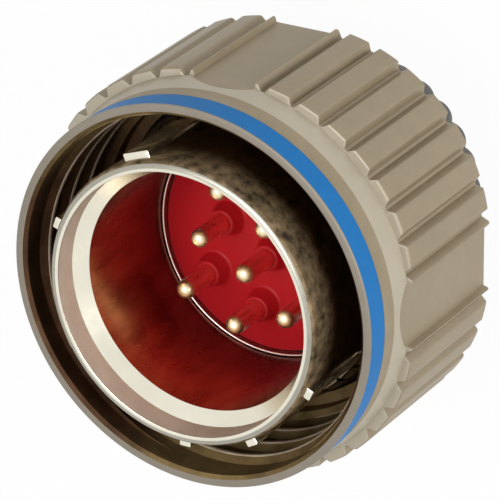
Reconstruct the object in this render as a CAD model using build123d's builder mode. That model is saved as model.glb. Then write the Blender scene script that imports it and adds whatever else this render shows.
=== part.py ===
from build123d import *
from math import cos, hypot, radians, sin, sqrt
import os

# Circular connector plug: a keyed barrel with eight pin contacts inside a free-turning coupling nut.
# The plug stands on its wire end. Z runs along its axis towards the mating end, and +Y points at the
# master key. All sizes are millimetres, and lengths along the axis are depths below the nut's lip.

# Overall lengths
lip_height = 26.8
rim_above_lip = 1.6

# Coupling nut, outside: walls and steps of its radii, and depths
grip_wall = 1.38
lip_inset = 0.68
lip_edge = 0.1
band_inset = 0.02
band_thickness = 0.12
band_front_depth = 0.14
band_rear_depth = 2.25
cove_depth = 2.9
cove_dip = 0.16
cove_end_depth = 3.85
cove_end_dip = 0.05
cone_end_depth = 5.58
cone_end_inset = 0.32
nut_length = 18.35
grip_corner_offset = 1.43
grip_edge = 0.25
flat_sink = 0.6
flat_half_width = 2.72
flat_turn = 70.5
grooves_per_quarter = 8
groove_pitch = 9.43
groove_width = 1.15
groove_floor_width = 0.25
groove_depth = 0.72

# Coupling nut, inside
lip_wall = 0.64
lip_inner_bevel = 0.28
thread_height = 0.58
thread_crest_width = 0.4
thread_root_width = 1.75
thread_root_sink = 0.1
thread_lead = 7.62
thread_starts = 3
thread_front_depth = 1.9
thread_rear_depth = 10.4
shoulder_overlap = 0.35
chamber_room = 0.95
rear_lip_height = 0.55

# Shell barrel and its bores
barrel_radius = 11.87
rim_outer_bevel = 0.42
rim_wall = 0.82
mouth_floor_depth = 0.5
taper_floor_depth = 1.42
taper_width = 1.0
insert_seat_depth = 13.6
insert_seat_width = 0.6

# Polarising keys on the barrel, as (clockwise angle from +Y seen from the mating end, width)
key_front_depth = -0.9
key_length = 7.6
key_bevel = 0.15
key_height = 0.63
master_key_width = 2.4
minor_key_width = 1.0
minor_key_angles = (135.0, 170.5, 200.0, 309.5)

# Shell flange, journal, accessory thread and toothed wire end
flange_height = 2.48
flange_front_depth = 11.7
flange_rear_depth = 14.5
detent_count = 48
detent_radius = 0.45
detent_cut = 0.35
journal_inset = 1.25
journal_rear_depth = 19.0
accessory_relief_wall = 0.65
accessory_thread_front_depth = 19.6
accessory_thread_rear_depth = 24.0
accessory_thread_height = 1.2
accessory_thread_bevel = 0.3
end_teeth_front_depth = 25.3
end_teeth_count = 30
end_tooth_radius = 1.5
end_tooth_wall = 0.85
end_core_wall = 0.35

# Retaining ring and spring washer behind the flange
ring_thickness = 0.65
ring_gap = 0.9
washer_thickness = 0.25
washer_height = 1.39
washer_inner_room = 0.3
washer_outer_room = 0.4

# Ratchet springs between the flange and the nut
ratchet_spring_count = 3
ratchet_spring_span = 70.0
ratchet_spring_thickness = 0.25
ratchet_spring_side_room = 0.4

# Ground spring and shell seal at the foot of the barrel
ground_spring_thickness = 0.15
ground_spring_bulge = 0.45
ground_spring_front_depth = 7.9
ground_spring_length = 2.6
ground_finger_count = 40
ground_finger_gap = 0.35
ground_band_height = 0.7
shell_seal_section = 0.5

# Insert stack, from the seal's face to the wire end
seal_thickness = 1.2
seal_ring_gap = 0.28
insert_ring_width = 0.2
insert_ring_room = 0.05
insert_ring_rise = 0.12
insulator_length = 3.9
rear_insulator_length = 3.7
grommet_recess = 0.3

# Towers of the interfacial seal
tower_height = 1.3
tower_top_radius = 1.12
tower_base_radius = 1.5
tower_edge = 0.15

# Contacts, as (half spacing across, height towards the master key) of each row
contact_rows = ((0.0, 5.96), (3.12, 2.35), (6.0, -1.7), (0.0, -1.06), (2.45, -5.18))
pin_radius = 0.79
pin_reach = 5.2
pin_tip_round = 0.72
collar_radius = 1.4
collar_length = 0.8
crimp_radius = 1.25
crimp_bore_radius = 0.86
crimp_bore_length = 5.2
crimp_window_radius = 0.35
clip_wall = 0.36
clip_room = 0.06
clip_slot_width = 0.6
wire_hole_radius = 0.95
pin_shoulder_inset = 1.5
contact_rear_length = 7.6

# Clearances
face_gap = 0.05
running_gap = 0.05
spring_gap = 0.1
pin_gap = 0.02
cut_margin = 1.0


def up(depth):
    """Height above the part's foot of a point at a depth below the nut's lip."""
    return lip_height - depth


def turn_from_y(angle):
    """Angle from +X of a direction given clockwise from +Y as seen from the mating end."""
    return 90.0 - angle


def grip_radius(angle):
    """Radius of the grip's rounded-square outline at an angle from the middle of a side."""
    beta = radians((angle + 45.0) % 90.0 - 45.0)
    offset = grip_distance - grip_corner_radius
    along = offset * (cos(beta) + abs(sin(beta)))
    return along + sqrt(along**2 - 2 * offset**2 + grip_corner_radius**2)


def contact_places():
    """Places of the contacts in the insert, row by row."""
    places = []
    for half_spacing, height in contact_rows:
        sides = (-half_spacing, half_spacing) if half_spacing else (0.0,)
        places += [(side, height) for side in sides]
    return places


flange_radius = barrel_radius + flange_height
journal_radius = flange_radius - journal_inset
shoulder_radius = flange_radius - shoulder_overlap
chamber_radius = flange_radius + chamber_room
grip_distance = chamber_radius + grip_wall
grip_corner_radius = grip_distance - grip_corner_offset
flat_distance = grip_distance - flat_sink
cone_end_radius = grip_distance - cone_end_inset
lip_radius = grip_distance - lip_inset
band_radius = lip_radius - band_inset
cove_radius = band_radius - cove_dip
cove_end_radius = band_radius - cove_end_dip
lip_inner_radius = lip_radius - lip_wall
thread_major_radius = lip_inner_radius - lip_inner_bevel
mouth_radius = barrel_radius - rim_wall
bore_radius = mouth_radius - taper_width
key_tip_radius = barrel_radius + key_height
insert_bore_radius = bore_radius + insert_seat_width
accessory_relief_radius = insert_bore_radius + accessory_relief_wall
accessory_thread_radius = accessory_relief_radius + accessory_thread_height
end_tooth_tip_radius = insert_bore_radius + end_tooth_wall
end_tooth_ring_radius = end_tooth_tip_radius - end_tooth_radius
end_core_radius = insert_bore_radius + end_core_wall
ratchet_spring_width = flange_rear_depth - flange_front_depth - 2 * ratchet_spring_side_room
chamber_rear_depth = flange_rear_depth + washer_height + ring_thickness + 3 * pin_gap
nut_rear_bore_radius = chamber_radius - rear_lip_height
insert_radius = insert_bore_radius - face_gap
insert_ring_outer_radius = bore_radius - insert_ring_room
insert_ring_inner_radius = insert_ring_outer_radius - insert_ring_width
seal_radius = insert_ring_inner_radius - seal_ring_gap
seal_face_depth = insert_seat_depth - seal_thickness
pin_tip_depth = seal_face_depth - pin_reach
contact_shoulder_depth = insert_seat_depth + pin_shoulder_inset
contact_tail_depth = contact_shoulder_depth + contact_rear_length
clip_outer_radius = crimp_radius + face_gap + clip_wall
cavity_radius = clip_outer_radius + clip_room
insulator_front = up(insert_seat_depth)
insulator_rear = insulator_front - insulator_length
rear_insulator_rear = insulator_rear - rear_insulator_length
contacts = contact_places()
os.makedirs("parts", exist_ok=True)

# The coupling nut's grip: a rounded square with eased end edges
with BuildPart() as grip_blank:
    with BuildSketch(Plane.XY.offset(up(nut_length))):
        RectangleRounded(2 * grip_distance, 2 * grip_distance, grip_corner_radius, rotation=flat_turn)
    extrude(amount=nut_length - cone_end_depth)
    fillet(grip_blank.edges().group_by(Axis.Z)[0], grip_edge)
    fillet(grip_blank.edges().group_by(Axis.Z)[-1], grip_edge)

# One grip groove for each place, a narrow-floored vee that runs out at the nut's rear
with BuildPart() as groove_cutters:
    with BuildSketch(Plane.XY.offset(up(nut_length) - cut_margin)):
        for quarter in range(4):
            for number in range(grooves_per_quarter):
                from_flat = 45.0 + (number - (grooves_per_quarter - 1) / 2) * groove_pitch
                surface = grip_radius(from_flat)
                inner_half = groove_floor_width / 2
                flare = (groove_width - groove_floor_width) / 2
                outer_half = inner_half + flare * (1 + cut_margin / groove_depth)
                with BuildLine(Plane.XY.rotated((0, 0, flat_turn + 90 * quarter + from_flat))):
                    Polyline(
                        (surface - groove_depth, -inner_half),
                        (surface + cut_margin, -outer_half),
                        (surface + cut_margin, outer_half),
                        (surface - groove_depth, inner_half),
                        close=True,
                    )
                make_face()
    extrude(amount=nut_length + cut_margin - cone_end_depth + face_gap)

# Four flats, each sunk a little below the grip and running out over the cone
with BuildPart() as flat_cutters:
    with BuildSketch(Plane.XY.offset(up(nut_length) - cut_margin)):
        with PolarLocations(flat_distance + cut_margin, 4, start_angle=flat_turn):
            Rectangle(2 * cut_margin, 2 * flat_half_width)
    extrude(amount=nut_length)

# One start of the coupling thread: a trapezoid ridge swept along a helix that roots in the nut's wall
thread_run = thread_rear_depth - thread_front_depth
ridge_root = thread_major_radius + thread_root_sink
ridge_crest = thread_major_radius - thread_height
with BuildPart() as thread_start:
    with BuildLine() as thread_path:
        Helix(thread_lead, thread_run + thread_root_width, ridge_root)
    with BuildSketch(Plane.XZ) as thread_section:
        with BuildLine():
            Polyline(
                (ridge_root, -thread_root_width / 2),
                (ridge_root, thread_root_width / 2),
                (ridge_crest, thread_crest_width / 2),
                (ridge_crest, -thread_crest_width / 2),
                close=True,
            )
        make_face()
    sweep(path=thread_path.wire(), is_frenet=True)

# Coupling thread: all its starts, trimmed to the length of the thread
with BuildPart() as coupling_thread:
    with PolarLocations(0, thread_starts):
        add(thread_start.part)
    with BuildSketch(Plane.XY.offset(thread_root_width / 2)):
        Circle(ridge_root + cut_margin)
    extrude(amount=thread_run, mode=Mode.INTERSECT)

# Coupling nut: the lip, the band's seat, the cove and the cone are turned, then the grip is added
with BuildPart() as coupling_nut:
    with BuildSketch(Plane.XZ) as nut_section:
        with BuildLine():
            Polyline(
                (lip_inner_radius, up(0)),
                (lip_radius - lip_edge, up(0)),
                (lip_radius, up(lip_edge)),
                (lip_radius, up(band_front_depth)),
                (band_radius - band_thickness, up(band_front_depth)),
                (band_radius - band_thickness, up(band_rear_depth)),
                (band_radius, up(band_rear_depth)),
            )
            ThreePointArc(
                (band_radius, up(band_rear_depth)),
                (cove_radius, up(cove_depth)),
                (cove_end_radius, up(cove_end_depth)),
            )
            Polyline(
                (cove_end_radius, up(cove_end_depth)),
                (cone_end_radius, up(cone_end_depth)),
                (cone_end_radius, up(nut_length - grip_edge)),
                (shoulder_radius - cut_margin, up(nut_length - grip_edge)),
                (shoulder_radius - cut_margin, up(0)),
                (lip_inner_radius, up(0)),
            )
        make_face()
    revolve(axis=Axis.Z)
    add(grip_blank.part)
    add(flat_cutters.part, mode=Mode.SUBTRACT)
    add(groove_cutters.part, mode=Mode.SUBTRACT)
    with BuildSketch(Plane.XZ) as nut_bore_section:
        with BuildLine():
            Polyline(
                (0, up(-cut_margin)),
                (lip_inner_radius, up(-cut_margin)),
                (lip_inner_radius, up(0)),
                (thread_major_radius, up(lip_inner_bevel)),
                (thread_major_radius, up(thread_rear_depth)),
                (shoulder_radius, up(thread_rear_depth)),
                (shoulder_radius, up(flange_front_depth - spring_gap)),
                (chamber_radius, up(flange_front_depth - spring_gap)),
                (chamber_radius, up(chamber_rear_depth)),
                (nut_rear_bore_radius, up(chamber_rear_depth)),
                (nut_rear_bore_radius, up(nut_length + cut_margin)),
                (0, up(nut_length + cut_margin)),
                close=True,
            )
        make_face()
    revolve(axis=Axis.Z, mode=Mode.SUBTRACT)
    with Locations((0, 0, up(thread_rear_depth) - thread_root_width / 2)):
        add(coupling_thread.part)
coupling_nut.part.label = "coupling_nut"

# Colour band: a thin sleeve that fills the nut's shallow seat behind the lip
with BuildPart() as colour_band:
    with BuildSketch(Plane.XY.offset(up(band_rear_depth))):
        Circle(band_radius)
        Circle(band_radius - band_thickness, mode=Mode.SUBTRACT)
    extrude(amount=band_rear_depth - band_front_depth)
colour_band.part.label = "colour_band"

# Shell: barrel, flange, journal, accessory thread and wire end in one turning, then teeth and keys
with BuildPart() as shell:
    with BuildSketch(Plane.XZ) as shell_section:
        with BuildLine():
            Polyline(
                (mouth_radius, up(-rim_above_lip)),
                (barrel_radius - rim_outer_bevel, up(-rim_above_lip)),
                (barrel_radius, up(rim_outer_bevel - rim_above_lip)),
                (barrel_radius, up(flange_front_depth)),
                (flange_radius, up(flange_front_depth)),
                (flange_radius, up(flange_rear_depth)),
                (journal_radius, up(flange_rear_depth)),
                (journal_radius, up(journal_rear_depth)),
                (accessory_relief_radius, up(journal_rear_depth)),
                (accessory_relief_radius, up(accessory_thread_front_depth)),
                (accessory_thread_radius, up(accessory_thread_front_depth)),
                (accessory_thread_radius, up(accessory_thread_rear_depth - accessory_thread_bevel)),
                (accessory_thread_radius - accessory_thread_bevel, up(accessory_thread_rear_depth)),
                (accessory_relief_radius, up(accessory_thread_rear_depth)),
                (accessory_relief_radius, up(end_teeth_front_depth)),
                (end_core_radius, up(end_teeth_front_depth)),
                (end_core_radius, 0),
                (insert_bore_radius, 0),
                (insert_bore_radius, up(insert_seat_depth)),
                (bore_radius, up(insert_seat_depth)),
                (bore_radius, up(taper_floor_depth)),
                (mouth_radius, up(mouth_floor_depth)),
                close=True,
            )
        make_face()
    revolve(axis=Axis.Z)
    with BuildSketch(Plane.XY):
        with PolarLocations(end_tooth_ring_radius, end_teeth_count):
            Circle(end_tooth_radius)
        Circle(end_tooth_ring_radius)
        Circle(insert_bore_radius, mode=Mode.SUBTRACT)
    extrude(amount=up(end_teeth_front_depth))
    key_places = [(0.0, master_key_width)] + [(angle, minor_key_width) for angle in minor_key_angles]
    with BuildSketch(Plane.XY.offset(up(key_front_depth + key_length))):
        for angle, width in key_places:
            with BuildLine(Plane.XY.rotated((0, 0, turn_from_y(angle)))):
                Polyline(
                    (barrel_radius - rim_outer_bevel, -width / 2),
                    (key_tip_radius, -width / 2),
                    (key_tip_radius, width / 2),
                    (barrel_radius - rim_outer_bevel, width / 2),
                    close=True,
                )
            make_face()
    extrude(amount=key_length)
    key_fronts = shell.faces().filter_by(Axis.Z).filter_by(
        lambda face: abs(face.center().Z - up(key_front_depth)) < 0.01
    )
    chamfer(
        key_fronts.edges().filter_by(
            lambda edge: hypot(edge.center().X, edge.center().Y) > barrel_radius + key_bevel
        ),
        key_bevel,
    )
    with BuildSketch(Plane.XY.offset(up(flange_rear_depth))):
        with PolarLocations(flange_radius + detent_radius - detent_cut, detent_count):
            Circle(detent_radius)
    extrude(amount=flange_rear_depth - flange_front_depth, mode=Mode.SUBTRACT)
shell.part.label = "shell"

# Retaining ring: a split ring that closes the nut's chamber, against the lip at the nut's rear
with BuildPart() as retaining_ring:
    with BuildSketch(Plane.XY.offset(up(chamber_rear_depth - pin_gap))):
        Circle(chamber_radius - face_gap)
        Circle(journal_radius + running_gap, mode=Mode.SUBTRACT)
        with Locations((-chamber_radius, 0)):
            Rectangle(chamber_radius, ring_gap, mode=Mode.SUBTRACT)
    extrude(amount=ring_thickness)
retaining_ring.part.label = "retaining_ring"

# Spring washer: a shallow cone between the shell's flange and the retaining ring
with BuildPart() as spring_washer:
    with BuildSketch(Plane.XZ):
        washer_front = up(flange_rear_depth + pin_gap)
        washer_rear = washer_front - washer_height
        washer_inner_radius = journal_radius + washer_inner_room
        washer_outer_radius = chamber_radius - washer_outer_room
        with BuildLine():
            Polyline(
                (washer_inner_radius, washer_front),
                (washer_outer_radius, washer_rear + washer_thickness),
                (washer_outer_radius, washer_rear),
                (washer_inner_radius, washer_front - washer_thickness),
                close=True,
            )
        make_face()
    revolve(axis=Axis.Z)
spring_washer.part.label = "spring_washer"

# Ratchet springs: bowed strips against the nut's wall, their middles over the flange's notches
ratchet_springs = []
spring_end_radius = chamber_radius - pin_gap
spring_mid_radius = flange_radius + spring_gap + ratchet_spring_thickness
for number in range(ratchet_spring_count):
    with BuildPart() as ratchet_spring:
        spring_foot = up((flange_front_depth + flange_rear_depth + ratchet_spring_width) / 2)
        turn = flat_turn + 360 * number / ratchet_spring_count
        with BuildSketch(Plane.XY.offset(spring_foot).rotated((0, 0, turn))):
            half_span = radians(ratchet_spring_span / 2)
            with BuildLine():
                corners = []
                for step in (0, ratchet_spring_thickness):
                    end = spring_end_radius - step
                    first = (end * cos(half_span), -end * sin(half_span))
                    last = (end * cos(half_span), end * sin(half_span))
                    ThreePointArc(first, (spring_mid_radius - step, 0), last)
                    corners.append((first, last))
                Line(corners[0][0], corners[1][0])
                Line(corners[0][1], corners[1][1])
            make_face()
        extrude(amount=ratchet_spring_width)
    ratchet_spring.part.label = f"ratchet_spring_{number + 1}"
    ratchet_springs.append(ratchet_spring.part)

# Ground spring: a bulged band of fingers around the foot of the barrel
with BuildPart() as ground_spring:
    with BuildSketch(Plane.XZ):
        inside = barrel_radius + face_gap
        front = up(ground_spring_front_depth)
        rear = front - ground_spring_length
        middle = (front + rear) / 2
        with BuildLine():
            for step in (0, ground_spring_thickness):
                ThreePointArc(
                    (inside + step, rear),
                    (inside + ground_spring_bulge + step, middle),
                    (inside + step, front),
                )
            Line((inside, rear), (inside + ground_spring_thickness, rear))
            Line((inside, front), (inside + ground_spring_thickness, front))
        make_face()
    revolve(axis=Axis.Z)
    with BuildSketch(Plane.XY.offset(rear + ground_band_height)):
        with PolarLocations(inside + ground_spring_bulge / 2, ground_finger_count):
            Rectangle(2 * ground_spring_bulge, ground_finger_gap)
    extrude(amount=ground_spring_length, mode=Mode.SUBTRACT)
ground_spring.part.label = "ground_spring"

# Shell seal: a round-section ring in the corner of the barrel and the flange
with BuildPart() as shell_seal:
    with BuildSketch(Plane.XZ):
        seal_offset = shell_seal_section + face_gap
        with Locations((barrel_radius + seal_offset, up(flange_front_depth) + seal_offset)):
            Circle(shell_seal_section)
    revolve(axis=Axis.Z)
shell_seal.part.label = "shell_seal"

# Interfacial seal: the soft face of the insert, with a tapered tower around each pin
tower_foot = up(seal_face_depth)
with BuildPart() as interfacial_seal:
    with BuildSketch(Plane.XY.offset(insulator_front)):
        Circle(seal_radius)
    extrude(amount=tower_foot - insulator_front)
    with Locations([(x, y, tower_foot) for x, y in contacts]):
        Cone(
            tower_base_radius, tower_top_radius, tower_height, align=(Align.CENTER, Align.CENTER, Align.MIN)
        )
    fillet(
        interfacial_seal.edges().filter_by(GeomType.CIRCLE).group_by(Axis.Z)[-1], tower_edge
    )
    with BuildSketch(Plane.XY.offset(insulator_front)):
        with Locations(contacts):
            Circle(pin_radius + pin_gap)
    extrude(amount=tower_foot + tower_height - insulator_front, mode=Mode.SUBTRACT)
interfacial_seal.part.label = "interfacial_seal"

# Insert ring: the thin bright ring that stands around the soft face
with BuildPart() as insert_ring:
    with BuildSketch(Plane.XY.offset(insulator_front)):
        Circle(insert_ring_outer_radius)
        Circle(insert_ring_inner_radius, mode=Mode.SUBTRACT)
    extrude(amount=tower_foot + insert_ring_rise - insulator_front)
insert_ring.part.label = "insert_ring"

# Front insulator: holds the pins at their collars, with a clip cavity behind each
with BuildPart() as front_insulator:
    with BuildSketch(Plane.XY.offset(insulator_rear)):
        Circle(insert_radius)
    extrude(amount=insulator_length)
    with BuildSketch(Plane.XY.offset(insulator_rear)):
        with Locations(contacts):
            Circle(pin_radius + pin_gap)
    extrude(amount=insulator_length, mode=Mode.SUBTRACT)
    with BuildSketch(Plane.XY.offset(insulator_rear)):
        with Locations(contacts):
            Circle(cavity_radius)
    extrude(amount=up(contact_shoulder_depth) - insulator_rear, mode=Mode.SUBTRACT)
front_insulator.part.label = "front_insulator"

# Rear insulator: closes the clip cavities and guides the crimp barrels
with BuildPart() as rear_insulator:
    with BuildSketch(Plane.XY.offset(rear_insulator_rear)):
        Circle(insert_radius)
        with Locations(contacts):
            Circle(crimp_radius + face_gap, mode=Mode.SUBTRACT)
    extrude(amount=rear_insulator_length)
rear_insulator.part.label = "rear_insulator"

# Wire grommet: soft rear seal, with a wire hole behind each crimp barrel
with BuildPart() as wire_grommet:
    with BuildSketch(Plane.XY.offset(grommet_recess)):
        Circle(insert_radius)
        with Locations(contacts):
            Circle(wire_hole_radius, mode=Mode.SUBTRACT)
    extrude(amount=rear_insulator_rear - grommet_recess)
    with BuildSketch(Plane.XY.offset(up(contact_tail_depth + spring_gap))):
        with Locations(contacts):
            Circle(crimp_radius + face_gap)
    extrude(amount=rear_insulator_rear - up(contact_tail_depth + spring_gap), mode=Mode.SUBTRACT)
wire_grommet.part.label = "wire_grommet"

# Pin contacts and their retention clips, one pair in each cavity
pin_contacts = []
retention_clips = []
for letter, (x, y) in zip("abcdefgh", contacts):
    contact_axis = Axis((x, y, 0), (0, 0, 1))
    collar_rear_depth = contact_shoulder_depth + collar_length
    with BuildPart() as pin_contact:
        with BuildSketch(Plane((x, y, 0), x_dir=(1, 0, 0), z_dir=(0, -1, 0))):
            with BuildLine():
                Line((0, up(pin_tip_depth)), (pin_radius - pin_tip_round, up(pin_tip_depth)))
                RadiusArc(
                    (pin_radius - pin_tip_round, up(pin_tip_depth)),
                    (pin_radius, up(pin_tip_depth + pin_tip_round)),
                    pin_tip_round,
                )
                Polyline(
                    (pin_radius, up(pin_tip_depth + pin_tip_round)),
                    (pin_radius, up(contact_shoulder_depth)),
                    (collar_radius, up(contact_shoulder_depth)),
                    (collar_radius, up(collar_rear_depth)),
                    (crimp_radius, up(collar_rear_depth)),
                    (crimp_radius, up(contact_tail_depth)),
                    (crimp_bore_radius, up(contact_tail_depth)),
                    (crimp_bore_radius, up(contact_tail_depth - crimp_bore_length)),
                    (0, up(contact_tail_depth - crimp_bore_length)),
                    (0, up(pin_tip_depth)),
                )
            make_face()
        revolve(axis=contact_axis)
        window_height = up(contact_tail_depth - crimp_bore_length) - 2 * crimp_window_radius
        with BuildSketch(Plane((x, y, window_height), x_dir=(1, 0, 0), z_dir=(0, -1, 0))):
            Circle(crimp_window_radius)
        extrude(amount=crimp_radius + pin_gap, mode=Mode.SUBTRACT)
    pin_contact.part.label = f"contact_{letter}"
    pin_contacts.append(pin_contact.part)

    with BuildPart() as retention_clip:
        with BuildSketch(Plane((x, y, insulator_rear))):
            Circle(clip_outer_radius)
            Circle(crimp_radius + face_gap, mode=Mode.SUBTRACT)
            with Locations((clip_outer_radius, 0)):
                Rectangle(clip_outer_radius, clip_slot_width, mode=Mode.SUBTRACT)
        extrude(amount=up(collar_rear_depth) - insulator_rear)
    retention_clip.part.label = f"retention_clip_{letter}"
    retention_clips.append(retention_clip.part)

single_pieces = [
    coupling_nut,
    colour_band,
    shell,
    retaining_ring,
    spring_washer,
    ground_spring,
    shell_seal,
    interfacial_seal,
    insert_ring,
    front_insulator,
    rear_insulator,
    wire_grommet,
]
pieces = [piece.part for piece in single_pieces] + ratchet_springs + pin_contacts + retention_clips
for piece in pieces:
    export_step(piece, f"parts/{piece.label}.step")
print(f"{len(pieces)} pieces written")
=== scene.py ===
from math import atan, atan2, cos, degrees, pi, radians, sin, sqrt

import bmesh
import bpy
from bpy.props import BoolProperty, FloatProperty, FloatVectorProperty, IntProperty, PointerProperty
from mathutils import Matrix, Vector


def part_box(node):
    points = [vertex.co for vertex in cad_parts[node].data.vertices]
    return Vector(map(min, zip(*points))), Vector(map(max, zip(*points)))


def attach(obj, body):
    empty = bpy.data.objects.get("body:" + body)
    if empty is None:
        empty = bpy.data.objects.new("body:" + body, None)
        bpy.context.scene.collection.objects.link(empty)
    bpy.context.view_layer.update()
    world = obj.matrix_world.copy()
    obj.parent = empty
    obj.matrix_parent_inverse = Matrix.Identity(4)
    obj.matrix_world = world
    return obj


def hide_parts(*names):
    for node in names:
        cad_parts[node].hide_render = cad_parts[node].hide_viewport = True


bl_info = {
    "name": "Circular Connector Plug",
    "version": (1, 0, 0),
    "blender": (4, 5, 0),
    "location": "View3D > Sidebar > Connector",
    "description": "Dresses a threaded-coupling connector plug and sets its stage",
    "category": "Object",
}

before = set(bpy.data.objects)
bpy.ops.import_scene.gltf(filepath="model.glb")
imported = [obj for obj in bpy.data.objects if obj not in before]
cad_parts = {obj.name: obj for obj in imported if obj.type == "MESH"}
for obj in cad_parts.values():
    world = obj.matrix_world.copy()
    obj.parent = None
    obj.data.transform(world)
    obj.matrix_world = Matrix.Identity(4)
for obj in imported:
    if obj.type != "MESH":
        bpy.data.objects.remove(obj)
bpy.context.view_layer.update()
MM = 0.001
WHITE = (1.0, 1.0, 1.0, 1.0)
BROWN = (0.4, 0.25, 0.15, 1.0)
RIM_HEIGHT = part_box("shell")[1][2]
LIP_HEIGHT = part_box("coupling_nut")[1][2]
SPRINGS = ["ratchet_spring_1", "ratchet_spring_2", "ratchet_spring_3"]
CONTACTS = ["contact_" + letter for letter in "abcdefgh"]
CLIPS = ["retention_clip_" + letter for letter in "abcdefgh"]
EASE = 0.12 * MM  # Rounding of small edges


def length(name, description, mm):
    """A length that is given here in millimetres."""
    return FloatProperty(name=name, description=description, default=mm * MM, precision=6, unit="LENGTH")


def turn(name, description, angle):
    """An angle that is given here in degrees."""
    return FloatProperty(name=name, description=description, default=radians(angle), subtype="ANGLE")


def amount(name, description, value):
    """A number in the unit that its description gives."""
    return FloatProperty(name=name, description=description, default=value)


def whole(name, description, value):
    """A count."""
    return IntProperty(name=name, description=description, default=value)


def colour(name, description, rgb):
    return FloatVectorProperty(
        name=name, description=description, default=rgb, size=3, min=0.0, max=1.0, subtype="COLOR"
    )


class PLUG_PG_nut(bpy.types.PropertyGroup):
    lip_radius: length("Lip radius", "Outer radius of the nut's front lip", 16.0)
    lip_bore: length("Lip bore", "Inner radius of the lip's front edge", 15.36)
    lip_edge: length("Lip edge", "Rounding of the lip's outer edge", 0.1)
    seat_radius: length("Band seat", "Radius of the shallow seat under the colour band", 15.86)
    band_radius: length("Band radius", "Outer radius of the colour band", 15.98)
    band_front: length("Band front", "Depth of the band's front edge below the lip", 0.14)
    band_rear: length("Band rear", "Depth of the band's rear edge below the lip", 2.25)
    cove_depth: length("Cove depth", "Depth of the lowest line of the cove behind the band", 2.9)
    cove_radius: length("Cove radius", "Radius of the lowest line of the cove", 15.82)
    cone_front: length("Cone front", "Depth at which the cone starts", 3.85)
    cone_front_radius: length("Cone front radius", "Radius at the front of the cone", 15.93)
    cone_rear_radius: length("Cone rear radius", "Radius at the rear of the cone", 16.36)
    grip_front: length("Grip front", "Depth of the grip's front face", 5.58)
    nut_length: length("Nut length", "Depth of the nut's rear face below the lip", 18.35)
    grip_distance: length("Grip distance", "Distance of the grip's sides from the axis", 16.68)
    grip_corner: length("Grip corner", "Radius of the grip's rounded corners", 15.25)
    grip_edge: length("Grip edge", "Rounding of the grip's end edges", 0.25)
    flat_distance: length("Flat distance", "Distance of the four flats from the axis", 16.08)
    flat_half: length("Flat half width", "Half the width of a flat", 2.72)
    flat_turn: turn("Flat turn", "Angle of the first flat from +X", 70.5)
    grooves: whole("Grooves", "Grooves between two flats", 8)
    groove_pitch: turn("Groove pitch", "Angle from one groove to the next", 9.43)
    groove_width: length("Groove width", "Width of a groove at the surface", 1.15)
    groove_floor: length("Groove floor", "Width of a groove at its floor", 0.25)
    groove_depth: length("Groove depth", "Depth of a groove below the grip's surface", 0.72)
    groove_front: length("Groove front", "Depth at which the grooves start", 5.53)
    groove_edge: length("Groove edge", "Rounding of a groove's edges", 0.1)
    thread_radius: length("Thread radius", "Radius at the root of the coupling thread", 15.08)
    thread_height: length("Thread height", "Height of the thread's ridges", 0.58)
    thread_crest: length("Thread crest", "Width of a ridge at its crest", 0.36)
    thread_root: length("Thread root", "Width of a ridge at its root", 1.75)
    thread_lead: length("Thread lead", "Advance of the thread in one turn", 7.62)
    thread_front: length("Thread front", "Depth at which the thread starts", 1.9)
    thread_rear: length("Thread rear", "Depth at which the thread ends", 10.4)
    thread_starts: whole("Thread starts", "Number of ridges side by side", 3)
    shoulder_radius: length("Shoulder", "Bore of the shoulder behind the thread", 14.0)
    chamber_front: length("Chamber front", "Depth at which the spring chamber starts", 11.6)
    chamber_rear: length("Chamber rear", "Depth at which the spring chamber ends", 16.6)
    chamber_radius: length("Chamber", "Radius of the spring chamber", 15.3)
    rear_bore: length("Rear bore", "Radius of the opening at the nut's rear", 14.75)


class PLUG_PG_shell(bpy.types.PropertyGroup):
    barrel_radius: length("Barrel radius", "Outer radius of the barrel", 11.87)
    rim_bevel: length("Rim bevel", "Bevel at the barrel's outer front edge", 0.42)
    rim_flat: length("Rim flat", "Width of the bright flat on the rim", 0.28)
    mouth_radius: length("Mouth", "Radius of the barrel's mouth", 11.05)
    taper_front: length("Taper front", "Depth at which the mouth's taper starts", 0.5)
    taper_rear: length("Taper rear", "Depth at which the mouth's taper ends", 1.42)
    bore_radius: length("Bore", "Radius of the barrel's bore", 10.05)
    insert_seat: length("Insert seat", "Depth of the insert's seat", 13.6)
    insert_bore: length("Insert bore", "Radius of the insert's seat", 10.65)
    flange_radius: length("Flange", "Radius of the notched flange", 14.35)
    flange_front: length("Flange front", "Depth of the flange's front", 11.7)
    flange_rear: length("Flange rear", "Depth of the flange's rear", 14.5)
    notches: whole("Notches", "Notches round the flange", 48)
    journal_radius: length("Journal", "Radius of the journal behind the flange", 13.1)
    journal_rear: length("Journal rear", "Depth at which the journal ends", 19.0)
    relief_radius: length("Relief", "Radius in front of and behind the rear thread", 11.3)
    rear_thread_front: length("Rear thread front", "Depth at which the rear thread starts", 19.6)
    rear_thread_rear: length("Rear thread rear", "Depth at which the rear thread ends", 24.0)
    rear_thread_radius: length("Rear thread radius", "Major radius of the rear thread", 12.5)
    rear_thread_root: length("Rear thread root", "Radius at the rear thread's root", 11.9)
    rear_thread_pitch: length("Rear thread pitch", "Pitch of the rear thread", 1.0)
    teeth_front: length("Teeth front", "Depth at which the toothed wire end starts", 25.3)
    end_teeth: whole("End teeth", "Teeth round the wire end", 30)
    end_tooth_radius: length("End tooth radius", "Radius of one rounded tooth", 1.5)
    end_tooth_tip: length("End tooth tip", "Distance of the teeth's tips from the axis", 11.5)
    key_front: length("Key front", "Depth of the keys' front faces", -0.9)
    key_length: length("Key length", "Length of the keys", 7.6)
    key_tip: length("Key tip", "Distance of the keys' tips from the axis", 12.5)
    master_key: length("Master key", "Width of the master key", 2.4)
    minor_key: length("Minor key", "Width of the four narrow keys", 1.0)


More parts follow.
